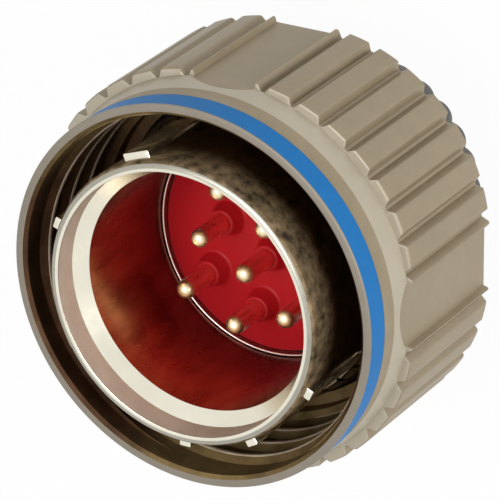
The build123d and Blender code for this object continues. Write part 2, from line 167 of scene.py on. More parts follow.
class PLUG_PG_insert(bpy.types.PropertyGroup):
    seal_radius: length("Seal radius", "Radius of the soft face", 9.52)
    seal_depth: length("Seal depth", "Depth of the soft face below the lip", 12.4)
    tower_height: length("Tower height", "Height of the tower around each pin", 1.3)
    tower_top: length("Tower top", "Radius at the top of a tower", 1.12)
    tower_base: length("Tower base", "Radius at the foot of a tower", 1.5)
    ring_inner: length("Ring inner", "Inner radius of the bright ring", 9.8)
    ring_outer: length("Ring outer", "Outer radius of the bright ring", 10.0)
    ring_rise: length("Ring rise", "Height of the ring above the soft face", 0.12)
    pin_radius: length("Pin radius", "Radius of a pin", 0.79)
    pin_tip: length("Pin tip", "Depth of the pins' tips below the lip", 7.2)
    pin_round: length("Pin rounding", "Rounding at a pin's tip", 0.72)


class PLUG_PG_finish(bpy.types.PropertyGroup):
    nut: colour("Nut", "Olive finish of the nut's grip", (0.36, 0.288, 0.188))
    # Lighter tone on the cone and the grip's front face, painted light on faces that look forward.
    nut_front_lit: colour("Nut front", "Lighter tone of the nut's cone, painted light", (0.53, 0.47, 0.365))
    nut_lip: colour("Nut lip", "Pale finish of the nut's lip", (0.3, 0.262, 0.208))
    # Darker tone inside the nut than outside, painted shade.
    nut_inside: colour("Nut inside", "Darker tone inside the nut, painted shade", (0.29, 0.2, 0.088))
    # Lighter tone on the thread's crests, a painted highlight.
    thread_crest: colour("Thread crest", "Painted highlight along the crests of the coupling thread", (0.85, 0.64, 0.48))
    band: colour("Band", "Blue of the colour band", (0.01, 0.19, 0.53))
    plating: colour("Plating", "Bright plating of the shell", (0.86, 0.82, 0.69))
    # Darker line on the rim's bevel, a painted dark reflection.
    rim_dark_reflection: colour("Rim dark reflection", "Darker line round the barrel's rim", (0.42, 0.4, 0.34))
    mouth: colour("Mouth wall", "Duller plating of the mouth's wall", (0.93, 0.76, 0.62))
    # Olive-brown tone on the barrel's side, a painted reflection of the nut's inside; it darkens with
    # depth as painted shade.
    barrel: colour("Barrel side", "Rough olive-brown side of the barrel", (0.21, 0.15, 0.085))
    # Brown tint in the bore, a painted reflection; it darkens with depth as painted shade.
    bore: colour("Bore", "Tint of the barrel's bore, painted reflection and shade", (0.66, 0.37, 0.2))
    ring: colour("Ring", "Plating of the ring round the soft face", (0.95, 0.84, 0.8))
    grey: colour("Grey plating", "Plating of the wire end", (0.13, 0.13, 0.122))
    seal: colour("Seal", "Red of the soft face", (0.6, 0.014, 0.022))
    gold: colour("Gold", "Plating of the pins' tips", (1.0, 0.84, 0.58))
    # Pinker tint on the pins' shafts, a painted reflection of the red face.
    shaft: colour("Shaft", "Pink tint of the pins' shafts, painted reflection", (1.0, 0.66, 0.56))


class PLUG_PG_stage(bpy.types.PropertyGroup):
    tilt: turn("Tilt", "Angle between the plug's axis and the line of sight", 38.48)
    roll: turn("Roll", "Direction of the plug's axis in the picture", 144.09)
    heading: turn("Heading", "Turn of the plug about its own axis", 157.3)
    focal: amount("Focal length", "Focal length of the camera in millimetres", 324.0)
    distance: length("Distance", "Distance from the camera to the lip's plane", 348.17)
    across: length("Across", "Place of the lip's centre to the right of the picture's", -4.673)
    down: length("Down", "Place of the lip's centre below the picture's", 3.745)
    key_power: amount("Key power", "Power of the key lamp in watts", 1.6)
    front_power: amount("Front power", "Power of the front lamp in watts", 0.8)
    world_level: amount("World level", "Brightness of the surroundings on the plug", 0.3)
    show_floor: BoolProperty(name="Floor", description="Add the pale floor", default=True)


def up(depth):
    """Height of a point at a depth below the nut's lip."""
    return LIP_HEIGHT - depth


def contact_places():
    """Places of the contacts, read from their solids."""
    places = []
    for name in CONTACTS:
        low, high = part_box(name)
        places.append(((low[0] + high[0]) / 2, (low[1] + high[1]) / 2))
    return places


# Meshes

MERGE = 0.0015 * MM
SHORTEST = 0.0005 * MM


def add_piece(name, bm, looks, body, nodes, smooth):
    """Makes a mesh a piece that rides on a body and stands in for its nodes."""
    mesh = bpy.data.meshes.new(name)
    bm.to_mesh(mesh)
    bm.free()
    mesh.shade_smooth()
    mesh.set_sharp_from_angle(angle=radians(smooth))
    for look in looks:
        mesh.materials.append(finishes()[look])
    piece = bpy.data.objects.new(name, mesh)
    bpy.context.scene.collection.objects.link(piece)
    if nodes:
        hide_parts(*nodes)
    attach(piece, body)


def finish_piece(name, bm, looks, body, nodes=(), smooth=34.0):
    """Closes up a mesh, turns its faces outwards and makes it a piece."""
    bmesh.ops.remove_doubles(bm, verts=bm.verts, dist=MERGE)
    bmesh.ops.dissolve_degenerate(bm, edges=bm.edges, dist=SHORTEST)
    bmesh.ops.recalc_face_normals(bm, faces=bm.faces)
    add_piece(name, bm, looks, body, nodes, smooth)


def turned(bm, profile, steps=256, centre=(0.0, 0.0), closed=True):
    """Turns a profile of (radius, height) points about an upright axis."""
    x, y = centre
    verts = [bm.verts.new((x + radius, y, height)) for radius, height in profile]
    pairs = list(zip(verts, verts[1:]))
    if closed:
        pairs.append((verts[-1], verts[0]))
    edges = [bm.edges.new(pair) for pair in pairs]
    bmesh.ops.spin(
        bm,
        geom=verts + edges,
        cent=(x, y, 0),
        axis=(0, 0, 1),
        angle=2 * pi,
        steps=steps,
        use_merge=True,
    )


def lofted(bm, stations, rows):
    """Carries a ring of stations from row to row. Each row gives every station's radius and depth."""
    count = len(stations)
    first = bmesh.ops.create_circle(bm, segments=count, radius=1.0)["verts"]
    first.sort(key=lambda vert: vert.index)
    ring = dict(zip(first, stations))
    edges = list({edge for vert in first for edge in vert.link_edges})

    def place(verts, row):
        for vert, station in verts.items():
            radius, depth = row(*station)
            angle = radians(station[0])
            vert.co = (radius * cos(angle), radius * sin(angle), up(depth))

    place(ring, rows[0])
    for row in rows[1:]:
        made = bmesh.ops.extrude_edge_only(bm, edges=edges)["geom"]
        fresh = [item for item in made if isinstance(item, bmesh.types.BMVert)]
        following = {}
        for vert in fresh:
            near = [edge.other_vert(vert) for edge in vert.link_edges]
            following[vert] = next(ring[other] for other in near if other in ring)
        edges = [
            item
            for item in made
            if isinstance(item, bmesh.types.BMEdge) and all(vert in following for vert in item.verts)
        ]
        ring = following
        place(ring, row)


def plain(radius, depth):
    """A row of one radius and one depth."""
    return lambda *station: (radius, depth)


def block(bm, low, high, bevel):
    """An upright block between two corners, with eased edges."""
    made = bmesh.ops.create_cube(bm, size=1.0)["verts"]
    size = Vector(high) - Vector(low)
    bmesh.ops.scale(bm, verts=made, vec=size)
    bmesh.ops.translate(bm, verts=made, vec=(Vector(high) + Vector(low)) / 2)
    edges = list({edge for vert in made for edge in vert.link_edges})
    before = set(bm.verts) - set(made)
    bmesh.ops.bevel(
        bm, geom=edges, offset=bevel, segments=3, profile=0.5, affect="EDGES", material=-1
    )
    return [vert for vert in bm.verts if vert not in before]


def ridge(bm, section, lead, turns, steps, start=0.0):
    """Carries a closed section of (radius, height) points along a helix."""
    about = Matrix.Rotation(start, 3, "Z")
    verts = [bm.verts.new(about @ Vector((radius, 0, height))) for radius, height in section]
    face = bm.faces.new(verts)
    bmesh.ops.spin(
        bm,
        geom=[face] + verts + list(face.edges),
        cent=(0, 0, 0),
        axis=(0, 0, 1),
        dvec=(0, 0, lead * turns / steps),
        angle=2 * pi * turns,
        steps=steps,
    )


def trim(bm, bottom, top):
    """Cuts a mesh off below one height and above another, and closes the cuts."""
    for height, side in ((bottom, -1), (top, 1)):
        cut = bmesh.ops.bisect_plane(
            bm,
            geom=list(bm.verts) + list(bm.edges) + list(bm.faces),
            dist=1e-7,
            plane_co=(0, 0, height),
            plane_no=(0, 0, side),
            clear_outer=True,
        )
        edges = [item for item in cut["geom_cut"] if isinstance(item, bmesh.types.BMEdge)]
        bmesh.ops.holes_fill(bm, edges=edges, sides=0)


# Finishes

DRIFT_SCALE = 160.0
DRIFT_TINT = (0.82, 0.82, 0.8, 1)
RELIEF_DEPTH = 0.05 * MM


def add_node(tree, kind, inputs=None, **options):
    """Adds a node, sets its options, and sets or links its inputs."""
    made = tree.nodes.new("ShaderNode" + kind)
    for key, value in options.items():
        setattr(made, key, value)
    for key, value in (inputs or {}).items():
        if isinstance(value, bpy.types.NodeSocket):
            tree.links.new(value, made.inputs[key])
        else:
            made.inputs[key].default_value = value
    return made


def mixed(tree, share, first, second, blend="MIX"):
    """One colour mixed with another."""
    inputs = {"Factor": share, "A": first, "B": second}
    return add_node(tree, "Mix", inputs, data_type="RGBA", blend_type=blend).outputs["Result"]


def ranged(tree, value, **ends):
    """A value carried from one range to another."""
    inputs = {key.replace("_", " "): end for key, end in ends.items()}
    return add_node(tree, "MapRange", {"Value": value, **inputs}).outputs["Result"]


def finish(
    name,
    base,
    metallic,
    roughness,
    grain=0.08,
    scale=900.0,
    stretch=1.0,
    bump=0.03,
    spread=0.08,
    fade=None,
    clear=0.5,
    **sockets,
):
    """A surface with a fine grain, a broad drift of tone and a small relief.

    A fade gives an axis, the bright and the dull distance along it, and the tint that the colour is
    multiplied by at the dull end; it paints light and shade into the colour. A small value of clear
    makes the grain stand out.
    """
    material = bpy.data.materials.new(name)
    material.use_nodes = True
    tree = material.node_tree
    shader = tree.nodes["Principled BSDF"]
    shader.inputs["Metallic"].default_value = metallic
    for socket, value in sockets.items():
        shader.inputs[socket.replace("_", " ")].default_value = value

    place = add_node(tree, "TexCoord").outputs["Object"]
    where = add_node(tree, "Mapping", {"Vector": place, "Scale": (1.0, 1.0, stretch)}).outputs["Vector"]
    inputs = {"Vector": where, "Scale": scale, "Detail": 5.0, "Roughness": 0.6}
    fine = add_node(tree, "TexNoise", inputs).outputs["Fac"]
    inputs = {"Vector": where, "Scale": DRIFT_SCALE, "Detail": 3.0}
    broad = add_node(tree, "TexNoise", inputs).outputs["Fac"]

    darker = (*[part * (1 - grain) for part in base], 1)
    lighter = (*[min(1.0, part * (1 + grain)) for part in base], 1)
    spots = ranged(tree, fine, From_Min=0.5 - clear, From_Max=0.5 + clear)
    tone = mixed(tree, broad, mixed(tree, spots, darker, lighter), DRIFT_TINT, "MULTIPLY")
    # Painted light and shade: the tone is multiplied by a tint that grows along one axis.
    if fade:
        axis, bright, dull, tint = fade
        across = add_node(tree, "SeparateXYZ", {"Vector": place}).outputs[axis]
        away = add_node(tree, "Math", {0: across}, operation="ABSOLUTE").outputs["Value"]
        inputs = {"Value": away, "From Min": bright, "From Max": dull}
        reach = add_node(tree, "MapRange", inputs, interpolation_type="SMOOTHSTEP")
        tone = mixed(tree, reach.outputs["Result"], tone, (*tint, 1), "MULTIPLY")
    rough = ranged(tree, fine, To_Min=max(0.02, roughness - spread), To_Max=roughness + spread)
    relief = add_node(tree, "Bump", {"Height": fine, "Strength": bump, "Distance": RELIEF_DEPTH})
    tree.links.new(tone, shader.inputs["Base Color"])
    tree.links.new(rough, shader.inputs["Roughness"])
    tree.links.new(relief.outputs["Normal"], shader.inputs["Normal"])


def finishes():
    """The plug's finishes, made once."""
    if "nut plating" in bpy.data.materials:
        return bpy.data.materials
    tones = bpy.context.scene.plug_finish
    # Painted shade: the barrel's side darkens to near black with depth into the gap under the nut.
    side = ("Z", up(-0.5 * MM), up(2.3 * MM), (0.12, 0.07, 0.035))
    # Painted shade: the bore darkens with depth.
    bore_shade_fade = ("Z", up(2.0 * MM), up(10.5 * MM), (0.35, 0.22, 0.3))
    # Painted light: inside the nut, faces towards the +Y and -Y sides keep their tone and those towards
    # the X sides are darkened.
    ends = ("Y", 14.5 * MM, 9.5 * MM, (0.35, 0.26, 0.32))
    inside_lit_sides = {"fade": ends, "clear": 0.25, "Specular_Tint": BROWN}
    barrel_painted_shade = {"fade": side, "clear": 0.17, "Specular_Tint": BROWN}
    finish("nut plating", tones.nut, 0.25, 0.46, grain=0.12, bump=0.16)
    finish("nut front lit", tones.nut_front_lit, 0.3, 0.42, grain=0.07, bump=0.1)
    finish("nut lip", tones.nut_lip, 0.4, 0.4, grain=0.1, bump=0.1)
    # The nut's inside is painted darker than its outside as painted shade, with painted light on its Y
    # sides.
    finish("nut inside", tones.nut_inside, 0.6, 0.44, grain=0.5, scale=380.0, bump=0.1, **inside_lit_sides)
    finish("thread crest highlight", tones.thread_crest, 0.4, 0.4, 0.3, 450.0, bump=0.1, clear=0.25)
    finish("blue band", tones.band, 0.0, 0.5, grain=0.08, bump=0.05, Specular_IOR_Level=0.15)
    finish("bright plating", tones.plating, 1.0, 0.2, grain=0.05, bump=0.05, spread=0.05)
    finish("mouth wall", tones.mouth, 0.55, 0.4, grain=0.2, scale=500.0, bump=0.04)
    finish("rim dark reflection", tones.rim_dark_reflection, 1.0, 0.3, grain=0.1, bump=0.05)
    finish("barrel side", tones.barrel, 0.4, 0.5, grain=0.75, scale=1000.0, bump=0.7, **barrel_painted_shade)
    finish("bore reflection and shade", tones.bore, 1.0, 0.28, 0.35, 420.0, 0.35, bump=0.03, fade=bore_shade_fade, clear=0.2)
    finish("ring metal", tones.ring, 1.0, 0.3, grain=0.05)
    finish("grey plating", tones.grey, 0.7, 0.36, grain=0.15, bump=0.06)
    finish("spring steel", (0.4, 0.31, 0.22), 1.0, 0.35)
    finish("red seal", tones.seal, 0.0, 0.42, grain=0.06, bump=0.08, Specular_IOR_Level=0.2)
    finish("dark rubber", (0.018, 0.014, 0.011), 0.0, 0.6, Specular_IOR_Level=0.1)
    finish("grommet rubber", (0.3, 0.02, 0.015), 0.0, 0.55)
    finish("insulator plastic", (0.05, 0.055, 0.045), 0.0, 0.45)
    finish("gold plating", tones.gold, 1.0, 0.34, grain=0.03, bump=0.02, spread=0.04)
    finish("shaft red reflection", tones.shaft, 1.0, 0.28, grain=0.05, bump=0.02, spread=0.04)
    finish("clip metal", (0.6, 0.36, 0.2), 1.0, 0.3)
    return bpy.data.materials


# The nut

REAR_BEVEL = 0.15 * MM
THREAD_SINK = 0.1 * MM
THREAD_STEPS = 160
BAND_EDGE = 0.03 * MM


def from_flat(nut, angle):
    """Angle in radians from the middle of the nearest flat."""
    return radians((angle - degrees(nut.flat_turn) + 45.0) % 90.0 - 45.0)


def grip_radius(nut, angle):
    """Radius of the grip's rounded-square outline at an angle in degrees."""
    beta = from_flat(nut, angle)
    offset = nut.grip_distance - nut.grip_corner
    along = offset * (cos(beta) + abs(sin(beta)))
    return along + sqrt(along**2 - 2 * offset**2 + nut.grip_corner**2)


def flat_radius(nut, angle):
    """Radius of the nearest flat at an angle in degrees."""
    return nut.flat_distance / cos(from_flat(nut, angle))


def grip_stations(nut):
    """Angles round the nut that meet the edges of its flats and grooves.

    Each station has its kind and how far it lies below the grip's surface.
    """
    stations = []
    reach = degrees(atan(nut.flat_half / nut.flat_distance))
    half, floor = nut.groove_width / 2, nut.groove_floor / 2
    edge = nut.groove_edge
    lean = (half - floor) / nut.groove_depth
    section = [
        (half + 0.9 * edge, 0.0),
        (half + 0.3 * edge, 0.12 * edge),
        (half - 0.2 * edge, 0.55 * edge),
        (half - 1.2 * edge * lean, 1.2 * edge),
        (floor, nut.groove_depth),
    ]
    for quarter in range(4):
        start = degrees(nut.flat_turn) + 90.0 * quarter
        stations.append((start - reach, "land", 0.0))
        stations += [(start + 0.985 * reach * step / 6, "flat", 0.0) for step in range(-6, 7)]
        stations.append((start + reach, "land", 0.0))
        for number in range(nut.grooves):
            middle = start + 45.0 + (number - (nut.grooves - 1) / 2) * degrees(nut.groove_pitch)
            surface = grip_radius(nut, middle)
            groove = []
            for side, pairs in ((-1, section), (1, section[::-1])):
                for away, drop in pairs:
                    groove.append((middle + side * degrees(away / surface), "groove", drop))
            if number:
                last = stations[-1][0]
                gap = groove[0][0] - last
                stations += [(last + gap * part / 4, "land", 0.0) for part in (1, 2, 3)]
            stations += groove
    return stations


def nut_rows(nut):
    """The nut's surface from the lip's bore over the outside to the rear and back through the bore."""

    def cone(depth):
        part = (depth - nut.cone_front) / (nut.grip_front - nut.cone_front)
        return nut.cone_front_radius + part * (nut.cone_rear_radius - nut.cone_front_radius)

    def crease(angle):
        rise = nut.cone_rear_radius - nut.cone_front_radius
        part = (flat_radius(nut, angle) - nut.cone_front_radius) / rise
        return nut.cone_front + part * (nut.grip_front - nut.cone_front)

    def flat_start(angle, kind, drop):
        depth = crease(angle) if kind == "flat" else nut.groove_front
        return cone(depth), depth

    def row(depth, outline):
        def place(angle, kind, drop):
            radius = outline(angle, drop)
            return (min(radius, flat_radius(nut, angle)) if kind == "flat" else radius), depth

        return place

    def cone_row(depth):
        return row(depth, lambda angle, drop: min(cone(depth), grip_radius(nut, angle) - drop))

    def grip(inset, depth):
        return row(depth, lambda angle, drop: grip_radius(nut, angle) - max(inset, drop))

    edge = nut.grip_edge
    arc = [pi / 2 * part / 5 for part in range(6)]
    front = [grip(edge * (1 - sin(t)), nut.grip_front + edge * (1 - cos(t))) for t in arc]
    run = nut.nut_length - nut.grip_front
    middle = [grip(0, nut.grip_front + part * run) for part in (0.25, 0.5, 0.75)]
    rear = [grip(edge * (1 - cos(t)), nut.nut_length - edge * (1 - sin(t))) for t in arc]

    def cove(depth):
        a, b, c = nut.band_rear, nut.cove_depth, nut.cone_front
        return (
            nut.band_radius * (depth - b) * (depth - c) / ((a - b) * (a - c))
            + nut.cove_radius * (depth - a) * (depth - c) / ((b - a) * (b - c))
            + nut.cone_front_radius * (depth - a) * (depth - b) / ((c - a) * (c - b))
        )

    hollow = [nut.band_rear + (nut.cone_front - nut.band_rear) * part / 10 for part in range(1, 11)]
    lip, ease = nut.lip_radius, nut.lip_edge
    start = plain(nut.lip_bore, 0.0)
    return (
        [
            start,
            plain(lip - ease, 0.0),
            plain(lip - 0.45 * ease, 0.12 * ease),
            plain(lip - 0.12 * ease, 0.45 * ease),
            plain(lip, ease),
            plain(lip, nut.band_front),
            plain(nut.seat_radius, nut.band_front),
            plain(nut.seat_radius, nut.band_rear),
            plain(nut.band_radius, nut.band_rear),
        ]
        + [plain(cove(depth), depth) for depth in hollow]
        + [flat_start, cone_row(nut.groove_front + 0.01 * MM), cone_row(nut.grip_front)]
        + front
        + middle
        + rear
        + [
            plain(nut.rear_bore + REAR_BEVEL, nut.nut_length),
            plain(nut.rear_bore, nut.nut_length - REAR_BEVEL),
            plain(nut.rear_bore, nut.chamber_rear),
            plain(nut.chamber_radius, nut.chamber_rear),
            plain(nut.chamber_radius, nut.chamber_front),
            plain(nut.shoulder_radius, nut.chamber_front),
            plain(nut.shoulder_radius, nut.thread_rear),
            plain(nut.thread_radius, nut.thread_rear),
            plain(nut.thread_radius, nut.lip_bore - nut.thread_radius),
            start,
        ]
    )


class PLUG_OT_nut(bpy.types.Operator):
    """Make the coupling nut with its grip, cone and bore"""

    bl_idname = "plug.nut"
    bl_label = "Coupling Nut"

    def execute(self, context):
        nut = context.scene.plug_nut
        bm = bmesh.new()
        lofted(bm, grip_stations(nut), nut_rows(nut))
        for face in bm.faces:
            centre = face.calc_center_median()
            radius = centre.xy.length
            depth = LIP_HEIGHT - centre.z
            # Faces inside the nut take the darker inside tone, painted shade.
            inside = radius < nut.thread_radius + 0.3 * MM and depth > 0.05 * MM
            away = abs(radius - flat_radius(nut, degrees(atan2(centre.y, centre.x))))
            # The cone and the grip's front face take the lighter front tone, painted light on faces that
            # look forward.
            front = nut.cone_front < depth < nut.grip_front + 0.3 * nut.grip_edge and away > 0.02 * MM
            if depth < nut.band_front:
                face.material_index = 3
            else:
                face.material_index = 2 if inside else int(front)
        looks = ["nut plating", "nut front lit", "nut inside", "nut lip"]
        finish_piece("nut_body", bm, looks, "coupling_nut", ["coupling_nut"])
        return {"FINISHED"}


class PLUG_OT_nut_thread(bpy.types.Operator):
    """Make the three ridges of the coupling thread"""

    bl_idname = "plug.nut_thread"
    bl_label = "Coupling Thread"

    def execute(self, context):
        nut = context.scene.plug_nut
        bm = bmesh.new()
        root = nut.thread_radius + THREAD_SINK
        crest = nut.thread_radius - nut.thread_height
        turns = (nut.thread_root + nut.thread_rear - nut.thread_front) / nut.thread_lead
        start = up(nut.thread_rear) - nut.thread_root / 2
        section = [(root, start - nut.thread_root / 2), (root, start + nut.thread_root / 2)]
        for share, sunk in ((0.62, 1.0), (0.42, 0.3), (0.0, 0.0), (-0.42, 0.3), (-0.62, 1.0)):
            section.append((crest + sunk * EASE, start + share * nut.thread_crest))
        for number in range(nut.thread_starts):
            about = 2 * pi * number / nut.thread_starts
            ridge(bm, section, nut.thread_lead, turns, int(turns * THREAD_STEPS), about)
        trim(bm, up(nut.thread_rear), up(nut.thread_front))
        # Faces on the ridges' crests take the lighter crest tone, a painted highlight along the thread.
        for face in bm.faces:
            outermost = max(vert.co.xy.length for vert in face.verts)
            face.material_index = int(outermost < crest + 1.05 * EASE)
        looks = ["nut inside", "thread crest highlight"]
        finish_piece("nut_thread", bm, looks, "coupling_nut", smooth=30.0)
        return {"FINISHED"}


class PLUG_OT_band(bpy.types.Operator):
    """Make the colour band behind the lip"""

    bl_idname = "plug.band"
    bl_label = "Colour Band"

    def execute(self, context):
        nut = context.scene.plug_nut
        bm = bmesh.new()
        outer, inner = nut.band_radius, nut.seat_radius
        front, rear = up(nut.band_front), up(nut.band_rear)
        foot = [(inner, rear), (outer - BAND_EDGE, rear), (outer, rear + BAND_EDGE)]
        turned(bm, foot + [(outer, front - BAND_EDGE), (outer - BAND_EDGE, front), (inner, front)])
        finish_piece("colour_ring", bm, ["blue band"], "coupling_nut", ["colour_band"])
        return {"FINISHED"}


# The shell

RIM_EDGE = 0.06 * MM
NOTCH_RADIUS = 0.45 * MM
NOTCH_CUT = 0.35 * MM
FLANGE_SINK = 0.5 * MM
END_WALL = 0.2 * MM
REAR_THREAD_STEPS = 96
MINOR_KEY_ANGLES = (135.0, 170.5, 200.0, 309.5)
KEY_SINK = 0.4 * MM


def shell_profile(shell):
    """Section of the barrel, the journal and the wire end, without the flange and the rear thread."""
    rim = RIM_HEIGHT
    rounding = [(0.8, 0.1), (0.45, 0.32), (0.18, 0.62), (0.0, 1.0)]
    bevel = [
        (shell.barrel_radius - inward * shell.rim_bevel, rim - down * shell.rim_bevel)
        for inward, down in rounding
    ]
    end_radius = shell.insert_bore + END_WALL
    return [
        (shell.mouth_radius, rim - RIM_EDGE),
        (shell.mouth_radius + 0.3 * RIM_EDGE, rim - 0.3 * RIM_EDGE),
        (shell.mouth_radius + RIM_EDGE, rim),
        (shell.mouth_radius + shell.rim_flat, rim),
        *bevel,
        (shell.barrel_radius, up(shell.flange_front)),
        (shell.journal_radius, up(shell.flange_front)),
        (shell.journal_radius, up(shell.journal_rear)),
        (shell.relief_radius, up(shell.journal_rear)),
        (shell.relief_radius, up(shell.rear_thread_front)),
        (shell.rear_thread_root, up(shell.rear_thread_front)),
        (shell.rear_thread_root, up(shell.rear_thread_rear)),
        (shell.relief_radius, up(shell.rear_thread_rear)),
        (shell.relief_radius, up(shell.teeth_front)),
        (end_radius, up(shell.teeth_front)),
        (end_radius, 0),
        (shell.insert_bore, 0),
        (shell.insert_bore, up(shell.insert_seat)),
        (shell.bore_radius, up(shell.insert_seat)),
        (shell.bore_radius, up(shell.taper_rear)),
        (shell.mouth_radius, up(shell.taper_front)),
    ]


def even_stations(count):
    """Stations at equal angles."""
    return [(360.0 * number / count, "", 0.0) for number in range(count)]


def notched_flange(bm, shell):
    """The flange with the notches that the ratchet springs click over."""
    pitch = 360.0 / shell.notches
    notch = NOTCH_RADIUS
    centre = shell.flange_radius + notch - NOTCH_CUT

    def row(depth):
        def rim(angle, kind, drop):
            beta = radians((angle + pitch / 2) % pitch - pitch / 2)
            off = centre * sin(beta)
            if abs(off) >= notch:
                return shell.flange_radius, depth
            return min(shell.flange_radius, centre * cos(beta) - sqrt(notch**2 - off**2)), depth

        return rim

    front, rear = shell.flange_front, shell.flange_rear
    inner = shell.journal_radius - FLANGE_SINK
    rows = [plain(inner, front), row(front), row(rear), plain(inner, rear), plain(inner, front)]
    lofted(bm, even_stations(shell.notches * 12), rows)


def toothed_end(bm, shell):
    """Rounded teeth that stand close together round the wire end."""
    centre = shell.end_tooth_tip - shell.end_tooth_radius
    pitch = 360.0 / shell.end_teeth

    def row(inset, depth):
        def tooth(angle, kind, drop):
            beta = radians((angle + pitch / 2) % pitch - pitch / 2)
            lobe = shell.end_tooth_radius - inset
            return centre * cos(beta) + sqrt(lobe**2 - (centre * sin(beta)) ** 2), depth

        return tooth

    front, foot = shell.teeth_front, LIP_HEIGHT
    inner = shell.insert_bore + END_WALL / 2
    rows = [plain(inner, front)]
    rows += [row(EASE, front), row(0.3 * EASE, front + 0.3 * EASE), row(0, front + EASE)]
    rows += [row(0, foot - EASE), row(0.3 * EASE, foot - 0.3 * EASE), row(EASE, foot)]
    rows += [plain(inner, foot), plain(inner, front)]
    lofted(bm, even_stations(shell.end_teeth * 12), rows)


def rear_thread(bm, shell):
    """The fine thread that a backshell screws on to."""
    pitch = shell.rear_thread_pitch
    turns = (shell.rear_thread_rear - shell.rear_thread_front + pitch) / pitch
    root, tip = shell.rear_thread_root - 0.05 * MM, shell.rear_thread_radius
    start = up(shell.rear_thread_rear) - pitch / 2
    section = [
        (root, start - pitch * 0.49),
        (root, start + pitch * 0.49),
        (tip, start + pitch * 0.08),
        (tip, start - pitch * 0.08),
    ]
    ridge(bm, section, pitch, turns, int(turns * REAR_THREAD_STEPS))
    trim(bm, up(shell.rear_thread_rear), up(shell.rear_thread_front))


class PLUG_OT_shell(bpy.types.Operator):
    """Make the shell's barrel, flange, rear thread and wire end"""

    bl_idname = "plug.shell"
    bl_label = "Shell"

    def execute(self, context):
        shell = context.scene.plug_shell
        bm = bmesh.new()
        turned(bm, shell_profile(shell))
        side = shell.barrel_radius - 0.4 * shell.rim_bevel
        rim = RIM_HEIGHT - 0.22 * shell.rim_bevel
        rear = up(shell.flange_rear)
        for face in bm.faces:
            centre = face.calc_center_median()
            radius, height = centre.xy.length, centre.z
            # The barrel's side above the flange takes the olive-brown tone, a painted reflection of the
            # nut's inside, darkened with depth as painted shade.
            if radius > side and height > rear:
                face.material_index = 2
            # The bore takes the brown bore tint, a painted reflection that darkens with depth as painted
            # shade.
            elif radius < shell.bore_radius + 0.05 * MM:
                face.material_index = 3
            elif radius < shell.mouth_radius + 0.001 * MM and height > up(shell.taper_front):
                face.material_index = 5
            # The inner part of the rim's bevel takes the darker rim tone, a painted dark reflection.
            elif radius > shell.mouth_radius + shell.rim_flat and height > rim:
                face.material_index = 4
            elif radius > shell.insert_bore and height < rear:
                face.material_index = 1
        looks = ["bright plating", "grey plating", "barrel side"]
        looks += ["bore reflection and shade", "rim dark reflection", "mouth wall"]
        finish_piece("shell_body", bm, looks, "shell", ["shell"])

        bm = bmesh.new()
        notched_flange(bm, shell)
        toothed_end(bm, shell)
        # The notched flange lies inside the nut and takes the nut's darker inside tone, painted shade.
        for face in bm.faces:
            face.material_index = int(face.calc_center_median().z > rear + 0.1 * MM)
        finish_piece("shell_flanges", bm, ["grey plating", "nut inside"], "shell")

        bm = bmesh.new()
        rear_thread(bm, shell)
        finish_piece("shell_rear_thread", bm, ["grey plating"], "shell", smooth=20.0)
        return {"FINISHED"}


class PLUG_OT_keys(bpy.types.Operator):
    """Make the master key and the four narrow keys"""

    bl_idname = "plug.keys"
    bl_label = "Keys"

    def execute(self, context):
        shell = context.scene.plug_shell
        bm = bmesh.new()
        keys = [(0.0, shell.master_key)] + [(angle, shell.minor_key) for angle in MINOR_KEY_ANGLES]
        foot = shell.barrel_radius - KEY_SINK
        for angle, width in keys:
            low = (-width / 2, foot, up(shell.key_front + shell.key_length))
            high = (width / 2, shell.key_tip, up(shell.key_front))
            verts = block(bm, low, high, EASE)
            about = Matrix.Rotation(radians(-angle), 3, "Z")
            bmesh.ops.rotate(bm, verts=verts, cent=(0, 0, 0), matrix=about)
        finish_piece("shell_keys", bm, ["bright plating"], "shell")
        return {"FINISHED"}


# The insert

HOLE_ROOM = 0.02 * MM
HOLE_DEPTH = 0.3 * MM
COLLAR_FRONT = 15.1 * MM
COLLAR_REAR = 15.9 * MM
COLLAR_RADIUS = 1.4 * MM
CRIMP_RADIUS = 1.25 * MM
CRIMP_BORE = 0.86 * MM
CRIMP_DEPTH = 5.2 * MM


class PLUG_OT_seal(bpy.types.Operator):
    """Make the soft face with a tower around each pin"""

    bl_idname = "plug.seal"
    bl_label = "Soft Face"

    def execute(self, context):
        insert = context.scene.plug_insert
        bm = bmesh.new()
        face = up(insert.seal_depth)
        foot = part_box("interfacial_seal")[0][2]
        radius = insert.seal_radius
        turned(
            bm,
            [
                (0, foot),
                (radius, foot),
                (radius, face - EASE),
                (radius - 0.3 * EASE, face - 0.3 * EASE),
                (radius - EASE, face),
                (0, face),
            ],
            steps=128,
            closed=False,
        )
        top = face + insert.tower_height
        sunk = face - HOLE_DEPTH
        hole = insert.pin_radius + HOLE_ROOM
        for place in contact_places():
            turned(
                bm,
                [
                    (hole, sunk),
                    (hole, top),
                    (insert.tower_top - EASE, top),
                    (insert.tower_top - 0.3 * EASE, top - 0.3 * EASE),
                    (insert.tower_top, top - EASE),
                    (insert.tower_base - EASE, face + EASE),
                    (insert.tower_base - 0.4 * EASE, face + 0.35 * EASE),
                    (insert.tower_base + EASE, face),
                    (insert.tower_base + EASE, sunk),
                ],
                steps=64,
                centre=place,
            )
        finish_piece("soft_face", bm, ["red seal"], "shell", ["interfacial_seal"], 50.0)
        return {"FINISHED"}


